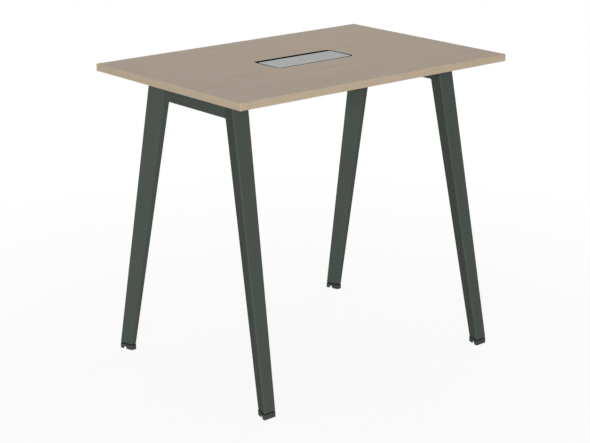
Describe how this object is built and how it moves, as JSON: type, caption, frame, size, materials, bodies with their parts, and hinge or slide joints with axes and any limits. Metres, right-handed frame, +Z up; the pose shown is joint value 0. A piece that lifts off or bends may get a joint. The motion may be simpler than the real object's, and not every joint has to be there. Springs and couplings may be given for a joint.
{
  "type": "standing meeting table",
  "caption": "Bar-height rectangular meeting table: laminate top with a flush cable-port lid, splayed tapered steel legs joined by end rails, levelling feet.",
  "frame": {"origin": "on the floor, below the middle of the top", "axes": "+X along the top's long side, +Y across it towards the cable slot, +Z up"},
  "size_m": [1.2, 0.841, 1.075],
  "materials": {
    "laminate": "matt grey-beige wood-grain laminate",
    "edge_band": "light wood-tone edge band",
    "painted_steel": "fine-texture powder coat, dark grey-green",
    "foot_plastic": "moulded, dark grey-green",
    "black_plastic": "moulded, black",
    "zinc_steel": "zinc plated",
    "lid_aluminium": "silver, satin",
    "bristle": "black nylon bristles"
  },
  "bodies": {
    "table": {"brush_bristles": "bristle", "brush_holder": "black_plastic", "cleat_back_left": "painted_steel", "cleat_back_right": "painted_steel", "cleat_front_left": "painted_steel", "cleat_front_right": "painted_steel", "edge_band_back": "edge_band", "edge_band_front": "edge_band", "edge_band_left": "edge_band", "edge_band_right": "edge_band", "end_rail_left": "painted_steel", "end_rail_right": "painted_steel", "hinge_pins": "zinc_steel", "leg_back_left": "painted_steel", "leg_back_right": "painted_steel", "leg_end_plug_back_left": "black_plastic", "leg_end_plug_back_right": "black_plastic", "leg_end_plug_front_left": "black_plastic", "leg_end_plug_front_right": "black_plastic", "leg_front_left": "painted_steel", "leg_front_right": "painted_steel", "level_nut_back_left": "zinc_steel", "level_nut_back_right": "zinc_steel", "level_nut_front_left": "zinc_steel", "level_nut_front_right": "zinc_steel", "long_rail_back": "painted_steel", "long_rail_front": "painted_steel", "port_frame": "black_plastic", "port_screws": "zinc_steel", "rail_bolts": "zinc_steel", "rail_nuts": "zinc_steel", "tabletop_board": "laminate", "top_plate_back_left": "painted_steel", "top_plate_back_right": "painted_steel", "top_plate_front_left": "painted_steel", "top_plate_front_right": "painted_steel", "top_screws": "zinc_steel"},
    "lid": {"port_lid": "lid_aluminium"},
    "front_left_foot": {"foot_front_left": "foot_plastic"},
    "front_left_screw": {"level_screw_front_left": "zinc_steel", "retaining_ring_front_left": "zinc_steel"},
    "front_right_foot": {"foot_front_right": "foot_plastic"},
    "front_right_screw": {"level_screw_front_right": "zinc_steel", "retaining_ring_front_right": "zinc_steel"},
    "back_left_foot": {"foot_back_left": "foot_plastic"},
    "back_left_screw": {"level_screw_back_left": "zinc_steel", "retaining_ring_back_left": "zinc_steel"},
    "back_right_foot": {"foot_back_right": "foot_plastic"},
    "back_right_screw": {"level_screw_back_right": "zinc_steel", "retaining_ring_back_right": "zinc_steel"}
  },
  "joints": [
    {"name": "lid_hinge", "type": "hinge", "parent": "table", "child": "lid", "pos_m": [0, -0.0515, 1.0695], "axis": [1, 0, 0], "range_deg": [0, 100]},
    {"name": "front_left_foot_slide", "type": "slide", "parent": "table", "child": "front_left_foot", "axis": [0, 0, -1], "range_m": [0, 0.01]},
    {"name": "front_left_screw_turn", "type": "hinge", "parent": "front_left_foot", "child": "front_left_screw", "pos_m": [-0.5055, -0.397, 0.03], "axis": [0, 0, -1], "range_deg": [0, 2401]},
    {"name": "front_right_foot_slide", "type": "slide", "parent": "table", "child": "front_right_foot", "axis": [0, 0, -1], "range_m": [0, 0.01]},
    {"name": "front_right_screw_turn", "type": "hinge", "parent": "front_right_foot", "child": "front_right_screw", "pos_m": [0.5055, -0.397, 0.03], "axis": [0, 0, -1], "range_deg": [0, 2401]},
    {"name": "back_left_foot_slide", "type": "slide", "parent": "table", "child": "back_left_foot", "axis": [0, 0, -1], "range_m": [0, 0.01]},
    {"name": "back_left_screw_turn", "type": "hinge", "parent": "back_left_foot", "child": "back_left_screw", "pos_m": [-0.5055, 0.397, 0.03], "axis": [0, 0, -1], "range_deg": [0, 2401]},
    {"name": "back_right_foot_slide", "type": "slide", "parent": "table", "child": "back_right_foot", "axis": [0, 0, -1], "range_m": [0, 0.01]},
    {"name": "back_right_screw_turn", "type": "hinge", "parent": "back_right_foot", "child": "back_right_screw", "pos_m": [0.5055, 0.397, 0.03], "axis": [0, 0, -1], "range_deg": [0, 2401]}
  ],
  "couplings": [
    {"joint": "front_left_screw_turn", "follows": "front_left_foot_slide", "rad_per_m": 4188.8},
    {"joint": "front_right_screw_turn", "follows": "front_right_foot_slide", "rad_per_m": 4188.8},
    {"joint": "back_left_screw_turn", "follows": "back_left_foot_slide", "rad_per_m": 4188.8},
    {"joint": "back_right_screw_turn", "follows": "back_right_foot_slide", "rad_per_m": 4188.8}
  ]
}
